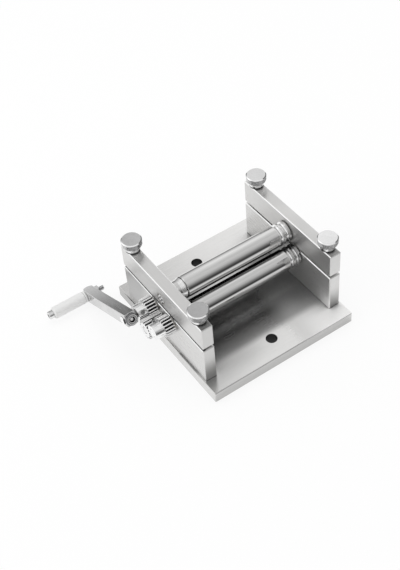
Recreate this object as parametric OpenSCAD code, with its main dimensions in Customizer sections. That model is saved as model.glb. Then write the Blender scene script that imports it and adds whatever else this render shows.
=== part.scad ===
// Hand cranked sheet bending machine: three rollers between two stands on a base plate.
// The origin is the centre of the base plate's underside. The rollers lie along x, the crank is
// at the -x end, +y is the back and +z is up. Every length is in millimetres.

/* [Base plate] */
// Thickness of the base plate
base_t = 10; // [8:0.5:16]
// How far the base plate reaches past the stands' outer faces
base_margin = 1.7; // [0.5:0.1:10]
// How far the base plate reaches past the stands in front and behind
base_lip = 14; // [12:0.5:30]
// Diameter of the two mounting holes
mount_hole_d = 9; // [6:0.5:11]
// Distance of a mounting hole's centre from the front or back edge
mount_hole_inset = 17.5; // [10:0.5:22]
// Bevel along the edges of the plates
plate_bevel = 0.6; // [0.2:0.1:1]

/* [Stands] */
// Clear distance between the two stands
stand_gap = 106.6; // [90:0.2:180]
// Length of the stands from front to back
stand_l = 109; // [104:1:140]
// Thickness of the stands along the rollers
stand_t = 10; // [9.5:0.5:14]
// Gap between each stand block and its bearing bar
bar_gap = 2.4; // [2.2:0.1:4]
// Metal left over the lower bushes, up to the block's top
block_cover = 1; // [0.8:0.1:4]
// Metal left over the upper bushes, up to the bar's top
bar_cover = 8.4; // [5:0.1:14]
// Diameter of the screws that hold a block on the base plate
foot_screw_d = 5; // [4:0.5:6]
// Length of those screws under the head
foot_screw_l = 15; // [12:0.5:18]
// Distance of a block's foot screws from its ends
foot_inset = 17; // [16:0.5:18.5]

/* [Rollers] */
// Diameter of the rollers
roller_d = 17.5; // [16:0.1:19]
// Distance between the axes of the two lower rollers
lower_pitch = 24; // [23:0.5:26]
// Height of the lower axes over the base plate
lower_rise = 28; // [26:0.5:36]
// Clear gap between the top roller and each lower roller
nip = 2.3; // [2.2:0.1:4]
// Play at each end of a roller
end_play = 0.5; // [0.2:0.1:1]
// Diameter of the roller journals
journal_d = 8; // [7.6:0.1:8.4]
// Wall of the journal bushes
bush_wall = 1; // [0.8:0.1:1.2]
// Width of the round grooves for wire
wire_groove_d = 3.5; // [2:0.1:4]
// Width of the rim between the wire grooves
wire_rim = 1.5; // [1:0.1:2.5]
// Width of the rim outside the last wire groove
end_rim = 2.05; // [1.5:0.05:3]
// Length of the plain neck at the crank end
neck_l = 4.8; // [3:0.1:6]
// Diameter of the plain neck at the crank end
neck_d = 15; // [12:0.1:15.4]
// Length of the tapered collar beside the neck
taper_l = 3.4; // [2:0.1:5]
// Largest diameter of the tapered collar
taper_d = 17; // [15.6:0.1:17.4]
// Width of the relief groove beside the roller's face
relief_w = 1.2; // [0.8:0.1:2]
// Diameter at the bottom of the relief groove
relief_d = 15.2; // [13:0.1:15.4]
// Bevel on the roller's edges and shaft ends
roller_bevel = 0.4; // [0.2:0.1:0.6]

/* [Gears] */
// Module of the gear teeth
gear_module = 0.8; // [0.8:0.01:0.85]
// Number of teeth on each gear
gear_teeth = 18; // [18:1:19]
// Play between the flanks of meshed teeth, at the pitch circle
backlash = 0.12; // [0.08:0.02:0.2]
// Face width of the two roller gears
gear_w = 7.9; // [6:0.1:10]
// Length of the plain hub of the roller gears
gear_hub_l = 7.8; // [5.5:0.1:10]
// Distance of the gears from the stand's outer face
gear_off = 1.2; // [0.8:0.1:2]
// Diameter of the roller shafts in the gears and the crank arm
shaft_d = 7; // [6:0.1:7.4]
// Diameter of the idler's shaft
idler_shaft_d = 6; // [5:0.1:6.2]
// Diameter of the set screws
set_screw_d = 4; // [3:0.5:4]
// Depth of a set screw's outer end under the hub's surface
set_screw_sink = 0.4; // [0.2:0.1:0.8]
// Thickness of the idler's retaining clip
clip_t = 0.8; // [0.6:0.1:1]
// Outer diameter of the idler's retaining clip
clip_d = 10; // [9:0.1:12]

/* [Crank] */
// Angle of the crank arm from level, negative points down
crank_angle = -25.4; // [-26:0.1:40]
// Thickness of the arm along the rollers
arm_t = 9.1; // [8:0.1:12]
// Width of the arm
arm_w = 10.4; // [10:0.1:11.4]
// Gap between the rear gear's hub and the arm
arm_off = 1.9; // [1:0.1:4]
// Distance of the shaft bore from the arm's lower end
arm_heel = 6; // [5.6:0.1:10]
// Distance from the shaft to the grip's axis
crank_reach = 71.6; // [60:0.1:72]
// Length of the arm past the grip's axis
arm_tip = 4.4; // [3:0.1:5.4]
// Offset of the arm's centre line from the shaft's axis
arm_lift = 0.8; // [0:0.1:1]
// Bevel along the arm's edges
arm_bevel = 0.5; // [0.2:0.1:1]
// How far the shaft stands out of the arm
shaft_proud = 0.7; // [0.2:0.1:2]
// Diameter of the clamp screw
clamp_screw_d = 6; // [5:0.5:6]
// Diameter of the clamp screw's head
clamp_head_d = 10; // [9:0.1:10.4]
// Height of the clamp screw's head
clamp_head_h = 2.4; // [1.8:0.1:3]
// Diameter of the turning grip
grip_d = 10; // [9:0.1:14]
// Length of the turning grip
grip_l = 28.4; // [20:0.1:60]
// Bevel at the grip's ends
grip_bevel = 0.9; // [0.3:0.1:1.5]
// Diameter of the grip's screw
grip_screw_d = 4; // [3:0.5:4.5]
// Thickness of the collar between grip and arm
grip_collar_t = 1.8; // [1:0.1:4]
// Length of thread that stands out behind the nut
grip_screw_tail = 4.4; // [1:0.1:6]

/* [Thumb screws] */
// Distance of the thumb screws from the bar's ends
thumb_inset = 9.8; // [8:0.1:10.5]
// Diameter of the thumb screws
thumb_screw_d = 5; // [4:0.5:5.5]
// Length of a thumb screw under its collar
thumb_screw_l = 40; // [36:0.5:42]
// Diameter of the knurled head
thumb_head_d = 16.4; // [14:0.1:20]
// Height of the knurled head
thumb_head_h = 4.9; // [4:0.1:8]
// Bevel at the knurled head's edges
thumb_bevel = 0.5; // [0.3:0.1:1]
// Diameter of the plain collar under the head
thumb_collar_d = 11; // [9:0.1:12]
// Height of the plain collar under the head
thumb_collar_h = 6.2; // [4:0.1:10]

/* [Guides and springs] */
// Distance of the guide pins from the stand's ends
guide_inset = 24; // [23:0.5:27]
// Diameter of the guide pins
guide_d = 4; // [3.6:0.1:4.2]
// Length of a guide pin in the block, under the spring
guide_hold = 12; // [8:0.5:13]
// How far a guide pin reaches into the bar
guide_reach = 10.6; // [8:0.2:12]
// Wire diameter of the lifting springs
spring_wire_d = 0.7; // [0.6:0.05:0.8]
// Number of turns in a lifting spring
spring_turns = 5; // [4:1:6]
// Depth of the pocket that holds a spring
spring_pocket = 8; // [7.6:0.2:10]
// How far the bearing bars can be screwed down from here
bar_travel = 2; // [1:0.1:2]

/* [Hidden] */
$fn = 96;
// One overrun serves every cut
over = 1;
// Radial clearance of a part that turns or slides in another
run_gap = 0.05;
// Radial clearance of a part that is pressed, screwed or clamped in another
seat_gap = 0.02;
// Radial clearance of a plain hole around a screw
free_gap = 0.3;
// Room at each face of a washer or clip
face_gap = 0.1;

// Heads, sockets and nuts as shares of their screw's diameter
socket_share = 0.8;
socket_depth_share = 0.45;
set_socket_share = 0.5;
cap_head_d_share = 1.7;
nut_width_share = 1.75;
nut_height_share = 0.8;
grip_collar_d_share = 1.5;
// Across the corners of a hexagon, as a share of its flats
hex_share = 2 / sqrt(3);
// Flat on the crank's shaft, and mouth of the clip
clamp_flat_share = 0.375;
clip_mouth_share = 0.67;

stand_x = stand_gap / 2 + stand_t / 2;
stand_in = stand_gap / 2;
stand_out = stand_in + stand_t;
base_l = 2 * (stand_out + base_margin);
base_d = stand_l + 2 * base_lip;
mount_hole_y = base_d / 2 - mount_hole_inset;

bush_d = journal_d + 2 * bush_wall;
lower_y = lower_pitch / 2;
lower_z = base_t + lower_rise;
block_h = lower_rise + bush_d / 2 + block_cover;
block_top = base_t + block_h;
bar_bottom = block_top + bar_gap;
top_z = lower_z + sqrt(pow(roller_d + nip, 2) - pow(lower_y, 2));
bar_top = top_z + bush_d / 2 + bar_cover;
bar_h = bar_top - bar_bottom;

roller_half = stand_in - end_play;
wire_groove_r = wire_groove_d / 2;
wire_groove_step = wire_groove_d + wire_rim;
wire_groove_outer_x = roller_half - end_rim - wire_groove_r;
wire_groove_inner_x = wire_groove_outer_x - wire_groove_step;
arc_step = 15;

gear_pitch_r = gear_module * gear_teeth / 2;
gear_tip_r = gear_pitch_r + gear_module;
gear_root_share = 1.25;
gear_root_r = gear_pitch_r - gear_root_share * gear_module;
pressure_angle = 20;
gear_base_r = gear_pitch_r * cos(pressure_angle);
flank_steps = 4;
gear_x = -stand_out - gear_off;
hub_x = gear_x - gear_w;
gear_end_x = hub_x - gear_hub_l;
gear_screw_x = hub_x - gear_hub_l / 2;
idler_screw_x = (gear_end_x + gear_x) / 2;
set_screw_top_r = gear_root_r - set_screw_sink;
idler_z = lower_z - sqrt(pow(2 * gear_pitch_r, 2) - pow(lower_y, 2));
rear_line = atan2(lower_z - idler_z, lower_y);
front_line = 180 - rear_line;
tooth_angle = 360 / gear_teeth;
idler_phase = rear_line;
rear_phase = rear_line + 180 + tooth_angle / 2;
front_phase = 2 * front_line + 180 - idler_phase + tooth_angle / 2;
rear_set_angle = 147;
front_set_angle = 300;
idler_set_angle = 106;
idler_bush_d = idler_shaft_d + 2 * bush_wall;
washer_wall = 2 * bush_wall;
clip_x = -stand_in + face_gap;
clip_groove = clip_t / 2;

arm_in_x = gear_end_x - arm_off;
arm_out_x = arm_in_x - arm_t;
arm_mid_x = arm_in_x - arm_t / 2;
arm_end = crank_reach + arm_tip;
clamp_flat = clamp_flat_share * shaft_d;
grip_in_x = arm_out_x - grip_collar_t;
grip_out_x = grip_in_x - grip_l;
grip_collar_d = grip_collar_d_share * grip_screw_d;
grip_screw_head_d = cap_head_d_share * grip_screw_d;
grip_nut_h = nut_height_share * grip_screw_d;
grip_screw_end_x = arm_in_x + grip_nut_h + grip_screw_tail;

thumb_y = stand_l / 2 - thumb_inset;
thumb_tip_z = bar_top - thumb_screw_l;
thumb_hole_z = thumb_tip_z - bar_travel - over;
foot_y = stand_l / 2 - foot_inset;
foot_head_h = foot_screw_d;
foot_head_d = cap_head_d_share * foot_screw_d;
foot_seat_z = foot_head_h + plate_bevel;
foot_hole_end = foot_seat_z + foot_screw_l + over;

guide_y = stand_l / 2 - guide_inset;
pocket_z = block_top - spring_pocket;
spring_l = bar_bottom - pocket_z;
spring_r = guide_d / 2 + spring_wire_d + run_gap;
pocket_d = 2 * spring_r + spring_wire_d + 2 * free_gap;
guide_bore_depth = guide_reach + bar_travel + over;

// Bodies of revolution and plates

module bevelled_rect(size, bevel) {
    w = size.x / 2;
    h = size.y / 2;
    polygon([
        [bevel - w, -h], [w - bevel, -h], [w, bevel - h], [w, h - bevel],
        [w - bevel, h], [bevel - w, h], [-w, h - bevel], [-w, bevel - h]
    ]);
}

// Box on z = 0, centred in x and y, with all of its edges bevelled
module bevelled_box(size, bevel) {
    intersection() {
        linear_extrude(size.z) bevelled_rect([size.x, size.y], bevel);
        translate([0, size.y / 2, size.z / 2]) rotate([90, 0, 0])
            linear_extrude(size.y) bevelled_rect([size.x, size.z], bevel);
        translate([-size.x / 2, 0, size.z / 2]) rotate([90, 0, 90])
            linear_extrude(size.x) bevelled_rect([size.y, size.z], bevel);
    }
}

module rod_x(x0, x1, d) {
    translate([x0, 0, 0]) rotate([0, 90, 0]) cylinder(h = x1 - x0, d = d);
}

module at_axis(y, z) {
    translate([0, y, z]) children();
}

// Turned piece along x, from [radius, x] points
module turned_x(points) {
    rotate([0, 90, 0]) rotate_extrude() polygon(points);
}

// Hex socket below z = 0, as a cut that opens upwards
module socket_z(screw_d, width_share) {
    depth = socket_depth_share * screw_d;
    translate([0, 0, -depth])
        cylinder(h = depth + over, d = width_share * screw_d * hex_share, $fn = 6);
}

// Plates

module base_plate() {
    color("gainsboro") difference() {
        bevelled_box([base_l, base_d, base_t], plate_bevel);
        for (s = [-1, 1]) translate([0, s * mount_hole_y, -over])
            cylinder(h = base_t + 2 * over, d = mount_hole_d);
        for (sx = [-1, 1], sy = [-1, 1]) translate([sx * stand_x, sy * foot_y, -over]) {
            cylinder(h = base_t + 2 * over, d = foot_screw_d + 2 * free_gap);
            cylinder(h = foot_seat_z + over, d = foot_head_d + 2 * free_gap);
        }
    }
}

module stand_block(side) {
    difference() {
        translate([side * stand_x, 0, base_t]) bevelled_box([stand_t, stand_l, block_h], plate_bevel);
        for (s = [-1, 1]) at_axis(s * lower_y, lower_z) rod_x(
            side * stand_x - stand_t / 2 - over, side * stand_x + stand_t / 2 + over, bush_d);
        for (s = [-1, 1]) translate([side * stand_x, s * thumb_y, thumb_hole_z])
            cylinder(h = block_top - thumb_hole_z + over, d = thumb_screw_d + 2 * run_gap);
        for (s = [-1, 1]) translate([side * stand_x, s * guide_y, 0]) {
            translate([0, 0, pocket_z]) cylinder(h = spring_pocket + over, d = pocket_d);
            translate([0, 0, pocket_z - guide_hold])
                cylinder(h = guide_hold + over, d = guide_d + 2 * seat_gap);
        }
        for (s = [-1, 1]) translate([side * stand_x, s * foot_y, base_t - over])
            cylinder(h = foot_hole_end - base_t + over, d = foot_screw_d + 2 * seat_gap);
    }
}

module left_block() {
    color("lightgray") difference() {
        stand_block(-1);
        at_axis(0, idler_z) rod_x(-stand_out - over, -stand_in + over, idler_bush_d);
    }
}

module right_block() {
    color("lightgray") stand_block(1);
}

module bearing_bar(side) {
    color("lightgray") difference() {
        translate([side * stand_x, 0, bar_bottom]) bevelled_box([stand_t, stand_l, bar_h], plate_bevel);
        at_axis(0, top_z) rod_x(
            side * stand_x - stand_t / 2 - over, side * stand_x + stand_t / 2 + over, bush_d);
        for (s = [-1, 1]) translate([side * stand_x, s * thumb_y, bar_bottom - over])
            cylinder(h = bar_h + 2 * over, d = thumb_screw_d + 2 * free_gap);
        for (s = [-1, 1]) translate([side * stand_x, s * guide_y, bar_bottom - over])
            cylinder(h = guide_bore_depth + over, d = guide_d + 2 * run_gap);
    }
}

// Socket head screws, from beneath through the base plate
module foot_screw() {
    difference() {
        union() {
            translate([0, 0, -foot_head_h]) cylinder(h = foot_head_h, d = foot_head_d);
            cylinder(h = foot_screw_l, d = foot_screw_d);
        }
        translate([0, 0, -foot_head_h]) mirror([0, 0, 1]) socket_z(foot_screw_d, socket_share);
    }
}

module foot_screws() {
    color("dimgray") for (sx = [-1, 1], sy = [-1, 1])
        translate([sx * stand_x, sy * foot_y, foot_seat_z]) foot_screw();
}

// Rollers

// Outline of the roller between its journals, as [radius, x]
function roller_outline() = let(
    r = roller_d / 2,
    neck_x = neck_l - roller_half,
    taper_x = neck_x + taper_l,
    face_x = taper_x + relief_w
) concat(
    [[neck_d / 2 - roller_bevel, -roller_half], [neck_d / 2, roller_bevel - roller_half]],
    [[neck_d / 2, neck_x], [taper_d / 2, taper_x], [relief_d / 2, taper_x], [relief_d / 2, face_x]],
    [[r - roller_bevel, face_x], [r, face_x + roller_bevel]],
    [for (g = [wire_groove_inner_x, wire_groove_outer_x], t = [0:arc_step:180])
        [r - wire_groove_r * sin(t), g - wire_groove_r * cos(t)]],
    [[r, roller_half - roller_bevel], [r - roller_bevel, roller_half]]
);

// Journal at the plain end, up to the stand's outer face
function plain_journal() = let(r = journal_d / 2) [
    [r, roller_half], [r, stand_out - roller_bevel], [r - roller_bevel, stand_out], [0, stand_out]
];

// Journal at the crank end, with a stepped shaft that carries a gear
function geared_journal(end_x) = let(r = journal_d / 2, s = shaft_d / 2) [
    [0, end_x], [s - roller_bevel, end_x], [s, end_x + roller_bevel],
    [s, gear_x], [r, gear_x], [r, -roller_half]
];

module top_roller() {
    r = journal_d / 2;
    start = [
        [0, -stand_out], [r - roller_bevel, -stand_out],
        [r, roller_bevel - stand_out], [r, -roller_half]
    ];
    color("silver") at_axis(0, top_z) turned_x(concat(start, roller_outline(), plain_journal()));
}

module front_roller() {
    color("silver") at_axis(-lower_y, lower_z)
        turned_x(concat(geared_journal(gear_end_x), roller_outline(), plain_journal()));
}

module rear_roller() {
    color("silver") difference() {
        at_axis(lower_y, lower_z) turned_x(
            concat(geared_journal(arm_out_x - shaft_proud), roller_outline(), plain_journal()));
        in_crank() translate([arm_out_x - shaft_proud - over, -shaft_d, -shaft_d])
            cube([arm_t + shaft_proud + over, shaft_d - clamp_flat, 2 * shaft_d]);
    }
}

// Bushes

module bush(side, y, z, bore_d, outer_d) {
    x0 = side * stand_x - stand_t / 2;
    color("goldenrod") at_axis(y, z) difference() {
        rod_x(x0, x0 + stand_t, outer_d - 2 * seat_gap);
        rod_x(x0 - over, x0 + stand_t + over, bore_d + 2 * run_gap);
    }
}

module thrust_washer(y, z, bore_d) {
    color("goldenrod") at_axis(y, z) difference() {
        rod_x(gear_x + face_gap, -stand_out - face_gap, bore_d + 2 * washer_wall);
        rod_x(gear_x - over, -stand_out + over, bore_d + 2 * run_gap);
    }
}

// Gears

function involute(r) = let(a = acos(gear_base_r / r)) tan(a) * 180 / PI - a;

// Half of a tooth's angle at a radius
function tooth_half(r) = (PI * gear_module - backlash) / (4 * gear_pitch_r) * 180 / PI
    + involute(gear_pitch_r) - involute(max(r, gear_base_r));

function polar(r, a) = [r * cos(a), r * sin(a)];

function gear_outline() = let(
    first_r = max(gear_base_r, gear_root_r),
    radii = [for (i = [0:flank_steps]) first_r + (gear_tip_r - first_r) * i / flank_steps]
) [for (k = [0:gear_teeth - 1]) let(c = k * tooth_angle) each concat(
    [polar(gear_root_r, c - tooth_half(first_r))],
    [for (i = [0:flank_steps]) polar(radii[i], c - tooth_half(radii[i]))],
    [for (i = [flank_steps:-1:0]) polar(radii[i], c + tooth_half(radii[i]))],
    [polar(gear_root_r, c + tooth_half(first_r))]
)];

module toothed_x(x0, x1, phase) {
    translate([x0, 0, 0]) rotate([90, 0, 90])
        linear_extrude(x1 - x0) rotate(phase) polygon(gear_outline());
}

// Radial screw hole or screw in a hub, from radius r0 to r1
module radial_rod(x, angle, r0, r1, d) {
    translate([x, 0, 0]) rotate([angle - 90, 0, 0]) translate([0, 0, r0]) cylinder(h = r1 - r0, d = d);
}

module roller_gear(y, phase, set_angle) {
    color("silver") at_axis(y, lower_z) difference() {
        union() {
            toothed_x(hub_x, gear_x, phase);
            rod_x(gear_end_x, hub_x, 2 * gear_root_r);
        }
        rod_x(gear_end_x - over, gear_x + over, shaft_d + 2 * seat_gap);
        radial_rod(gear_screw_x, set_angle, 0, gear_tip_r, set_screw_d + 2 * seat_gap);
    }
}

module idler_gear() {
    color("silver") at_axis(0, idler_z) difference() {
        toothed_x(gear_end_x, gear_x, idler_phase);
        rod_x(gear_end_x - over, gear_x + over, idler_shaft_d + 2 * seat_gap);
        radial_rod(idler_screw_x, idler_set_angle, 0, gear_tip_r + over, set_screw_d + 2 * seat_gap);
    }
}

// Headless screw with a hex socket, seated on its shaft
module set_screw(x, angle, seat_r, top_r) {
    color("dimgray") difference() {
        radial_rod(x, angle, seat_r + seat_gap, top_r, set_screw_d);
        translate([x, 0, 0]) rotate([angle - 90, 0, 0]) translate([0, 0, top_r])
            socket_z(set_screw_d, set_socket_share);
    }
}

module rear_set_screw() {
    at_axis(lower_y, lower_z)
        set_screw(gear_screw_x, rear_set_angle, shaft_d / 2, set_screw_top_r);
}

module front_set_screw() {
    at_axis(-lower_y, lower_z)
        set_screw(gear_screw_x, front_set_angle, shaft_d / 2, set_screw_top_r);
}

module idler_set_screw() {
    at_axis(0, idler_z)
        set_screw(idler_screw_x, idler_set_angle, idler_shaft_d / 2, set_screw_top_r);
}

// The shaft turns in its bush, with a groove for the clip inside the stand
module idler_shaft() {
    r = idler_shaft_d / 2;
    clip_end = clip_x + clip_t + 2 * seat_gap;
    tail = clip_end + clip_t;
    color("silver") at_axis(0, idler_z) turned_x([
        [0, gear_end_x], [r - roller_bevel, gear_end_x], [r, gear_end_x + roller_bevel],
        [r, clip_x], [r - clip_groove, clip_x], [r - clip_groove, clip_end],
        [r, clip_end], [r, tail - clip_groove], [r - clip_groove, tail], [0, tail]
    ]);
}

// Open spring clip that snaps into the shaft's groove from beneath
module idler_clip() {
    inner_d = idler_shaft_d - 2 * clip_groove + 2 * seat_gap;
    mouth = clip_mouth_share * inner_d;
    color("dimgray") at_axis(0, idler_z) difference() {
        rod_x(clip_x + seat_gap, clip_x + seat_gap + clip_t, clip_d);
        rod_x(clip_x - over, clip_x + clip_t + over, inner_d);
        translate([clip_x - over, -mouth / 2, -clip_d]) cube([clip_t + 2 * over, mouth, clip_d]);
    }
}

// Crank

module in_crank() {
    translate([0, lower_y, lower_z]) rotate([crank_angle, 0, 0]) children();
}

// Outline of the arm seen along its width, with a round end
module arm_outline() {
    r = arm_t / 2;
    polygon(concat(
        [[arm_out_x, -arm_heel], [arm_in_x, -arm_heel]],
        [for (t = [0:arc_step / 2:180])
            [arm_mid_x + r * cos(t), arm_end - r + r * sin(t)]]
    ));
}

module crank_arm() {
    color("gray") in_crank() difference() {
        intersection() {
            translate([0, 0, arm_lift - arm_w / 2]) linear_extrude(arm_w) arm_outline();
            translate([arm_mid_x, arm_end + over, arm_lift]) rotate([90, 0, 0])
                linear_extrude(arm_heel + arm_end + over) bevelled_rect([arm_t, arm_w], arm_bevel);
        }
        rod_x(arm_out_x - over, arm_in_x + over, shaft_d + 2 * seat_gap);
        translate([0, crank_reach, arm_lift])
            rod_x(arm_out_x - over, arm_in_x + over, grip_screw_d + 2 * seat_gap);
        translate([arm_mid_x, 0, arm_lift]) rotate([90, 0, 0])
            cylinder(h = arm_heel + over, d = clamp_screw_d + 2 * seat_gap);
    }
}

// Low socket head screw that clamps the arm on a flat of the shaft
module clamp_screw() {
    color("dimgray") in_crank() translate([arm_mid_x, 0, arm_lift]) rotate([90, 0, 0]) difference() {
        union() {
            translate([0, 0, clamp_flat + seat_gap])
                cylinder(h = arm_heel - clamp_flat, d = clamp_screw_d);
            translate([0, 0, arm_heel + seat_gap]) cylinder(h = clamp_head_h, d = clamp_head_d);
        }
        translate([0, 0, arm_heel + seat_gap + clamp_head_h]) socket_z(clamp_screw_d, socket_share);
    }
}

module in_grip() {
    in_crank() translate([0, crank_reach, arm_lift]) children();
}

module grip() {
    r = grip_d / 2;
    bore_r = grip_screw_d / 2 + run_gap;
    inner = grip_in_x - 2 * run_gap;
    color("whitesmoke") in_grip() turned_x([
        [bore_r, grip_out_x], [r - grip_bevel, grip_out_x], [r, grip_out_x + grip_bevel],
        [r, inner - grip_bevel / 2], [r - grip_bevel / 2, inner], [bore_r, inner]
    ]);
}

module grip_screw() {
    head_x = grip_out_x - 2 * run_gap;
    color("lightgray") in_grip() difference() {
        union() {
            rod_x(head_x, grip_screw_end_x, grip_screw_d);
            rod_x(head_x - grip_screw_d, head_x, grip_screw_head_d);
        }
        translate([head_x - grip_screw_d, 0, 0]) rotate([0, -90, 0])
            socket_z(grip_screw_d, socket_share);
    }
}

module grip_collar() {
    color("dimgray") in_grip() difference() {
        rod_x(grip_in_x, arm_out_x, grip_collar_d);
        rod_x(grip_in_x - over, arm_out_x + over, grip_screw_d + 2 * seat_gap);
    }
}

module grip_nut() {
    color("lightgray") in_grip() difference() {
        translate([arm_in_x, 0, 0]) rotate([0, 90, 0])
            cylinder(h = grip_nut_h, d = nut_width_share * grip_screw_d * hex_share, $fn = 6);
        rod_x(arm_in_x - over, arm_in_x + grip_nut_h + over, grip_screw_d + 2 * seat_gap);
    }
}

// Thumb screws

module thumb_screw(sx, sy) {
    z0 = bar_top + run_gap;
    z1 = z0 + thumb_collar_h;
    z2 = z1 + thumb_head_h;
    r = thumb_head_d / 2;
    s = thumb_screw_d / 2;
    color("silver") translate([sx * stand_x, sy * thumb_y, 0]) rotate_extrude() polygon([
        [0, thumb_tip_z], [s - thumb_bevel, thumb_tip_z], [s, thumb_tip_z + thumb_bevel],
        [s, z0], [thumb_collar_d / 2, z0], [thumb_collar_d / 2, z1], [r - thumb_bevel, z1],
        [r, z1 + thumb_bevel], [r, z2 - thumb_bevel], [r - thumb_bevel, z2], [0, z2]
    ]);
}

// Guide pins and lifting springs

module guide_pins(side) {
    color("silver") for (s = [-1, 1]) translate([side * stand_x, s * guide_y, pocket_z - guide_hold])
        cylinder(h = guide_hold + spring_l + guide_reach, d = guide_d);
}

// Centre line of a lifting spring: a straight foot, a quarter bend and the coil, then the
// same at the top
spring_rings = 8;
spring_sides = 6;
spring_bend = spring_wire_d;
spring_foot = spring_wire_d;
spring_lead = spring_foot + spring_bend;
spring_rise = spring_l - 2 * spring_lead;
bend_steps = 3;
spring_turn_angle = 360 * spring_turns;
spring_foot_path = concat(
    [[spring_r, 0, 0]],
    [for (i = [0:bend_steps]) let(t = 90 * i / bend_steps)
        [spring_r, spring_bend * (1 - cos(t)), spring_foot + spring_bend * sin(t)]]
);
spring_head_start = asin(spring_bend / spring_r);
spring_coil_count = spring_rings * spring_turns;
spring_coil_path = [for (i = [1:spring_coil_count - 1])
    let(
        f = i / spring_coil_count,
        a = spring_head_start + f * (spring_turn_angle - 2 * spring_head_start)
    ) [spring_r * cos(a), spring_r * sin(a), spring_lead + f * spring_rise]];
spring_top_path = [for (i = [len(spring_foot_path) - 1:-1:0])
    let(p = spring_foot_path[i]) [p.x, -p.y, spring_l - p.z]];
spring_path = concat(spring_foot_path, spring_coil_path, spring_top_path);

spring_last = len(spring_path) - 1;
spring_least_gap = min([
    for (i = [0:spring_last]) for (j = [i + spring_rings / 2:1:spring_last])
        norm(spring_path[i] - spring_path[j])
]) - spring_wire_d;
echo(spring_least_gap = spring_least_gap);

function unit(v) = v / norm(v);
function along(path, i) = unit(path[min(i + 1, len(path) - 1)] - path[max(i - 1, 0)]);

// Closed tube along a path that never runs straight towards or away from the spring's axis
module tube(path, d, sides) {
    n = len(path);
    rings = [for (i = [0:n - 1]) let(
        t = i == 0 || i == n - 1 ? [0, 0, 1] : along(path, i),
        radial = unit([path[i].x, path[i].y, 0]),
        side = unit(cross(t, radial)),
        out = cross(side, t)
    ) each [for (k = [0:sides - 1]) let(a = 360 * k / sides)
        path[i] + d / 2 * (out * cos(a) + side * sin(a))]];
    walls = [for (i = [0:n - 2], k = [0:sides - 1]) let(
        a = i * sides + k, b = i * sides + (k + 1) % sides
    ) each [[a, b, b + sides], [a, b + sides, a + sides]]];
    last = (n - 1) * sides;
    ends = [for (k = [1:sides - 2]) each [[0, k + 1, k], [last, last + k, last + k + 1]]];
    polyhedron(rings, concat(walls, ends));
}

module lifting_spring(sx, sy) {
    color("gray") translate([sx * stand_x, sy * guide_y, pocket_z])
        tube(spring_path, spring_wire_d, spring_sides);
}

base_plate();
left_block();
right_block();
foot_screws();
bearing_bar(-1);  // left_bar
bearing_bar(1);  // right_bar
guide_pins(-1);  // left_guide_pins
guide_pins(1);  // right_guide_pins
lifting_spring(-1, -1);  // left_front_spring
lifting_spring(-1, 1);  // left_rear_spring
lifting_spring(1, -1);  // right_front_spring
lifting_spring(1, 1);  // right_rear_spring
thumb_screw(-1, -1);  // left_front_thumb
thumb_screw(-1, 1);  // left_rear_thumb
thumb_screw(1, -1);  // right_front_thumb
thumb_screw(1, 1);  // right_rear_thumb
top_roller();
front_roller();
rear_roller();
bush(-1, 0, top_z, journal_d, bush_d);  // left_top_bush
bush(1, 0, top_z, journal_d, bush_d);  // right_top_bush
bush(-1, -lower_y, lower_z, journal_d, bush_d);  // left_front_bush
bush(-1, lower_y, lower_z, journal_d, bush_d);  // left_rear_bush
bush(1, -lower_y, lower_z, journal_d, bush_d);  // right_front_bush
bush(1, lower_y, lower_z, journal_d, bush_d);  // right_rear_bush
thrust_washer(lower_y, lower_z, journal_d);  // rear_washer
thrust_washer(-lower_y, lower_z, journal_d);  // front_washer
thrust_washer(0, idler_z, idler_shaft_d);  // idler_washer
roller_gear(lower_y, rear_phase, rear_set_angle);  // rear_gear
roller_gear(-lower_y, front_phase, front_set_angle);  // front_gear
rear_set_screw();
front_set_screw();
idler_gear();
idler_shaft();
bush(-1, 0, idler_z, idler_shaft_d, idler_bush_d);  // idler_bush
idler_clip();
idler_set_screw();
crank_arm();
clamp_screw();
grip();
grip_screw();
grip_collar();
grip_nut();
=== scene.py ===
"""Looks of the hand cranked sheet bending machine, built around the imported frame.

The machine is satin ground steel plate with polished rollers. The sections follow it as it is
put together: camera, studio and floor first, then plates, rollers, gears, thumb screws, springs
and crank.
"""

import math

import bmesh
import bpy
from mathutils import Euler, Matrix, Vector


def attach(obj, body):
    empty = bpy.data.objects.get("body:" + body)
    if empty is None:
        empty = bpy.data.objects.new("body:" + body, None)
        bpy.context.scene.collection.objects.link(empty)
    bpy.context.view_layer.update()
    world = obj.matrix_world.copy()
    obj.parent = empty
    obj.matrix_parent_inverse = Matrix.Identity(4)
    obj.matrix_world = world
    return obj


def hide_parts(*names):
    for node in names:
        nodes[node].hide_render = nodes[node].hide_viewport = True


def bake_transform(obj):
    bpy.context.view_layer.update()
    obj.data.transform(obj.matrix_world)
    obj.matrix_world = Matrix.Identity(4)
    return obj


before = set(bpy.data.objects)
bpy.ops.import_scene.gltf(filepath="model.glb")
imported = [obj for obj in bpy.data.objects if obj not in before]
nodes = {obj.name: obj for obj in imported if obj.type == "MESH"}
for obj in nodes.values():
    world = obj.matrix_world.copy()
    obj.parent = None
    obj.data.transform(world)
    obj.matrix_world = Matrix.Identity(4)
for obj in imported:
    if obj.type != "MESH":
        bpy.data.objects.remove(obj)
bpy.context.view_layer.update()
scene = bpy.context.scene
bpy.ops.object.select_all(action="DESELECT")


# ---------------------------------------------------------------- Camera
# The photograph looks down on the crank end from the front left. The place and the lens come
# from the plates' corners in the photograph.
camera_place = (-0.3017, -0.4700, 0.6319)
camera_target = (-0.02131, 0.01263, 0.030)
camera_roll = math.radians(-5.747)
camera_lens = 66.53

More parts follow.
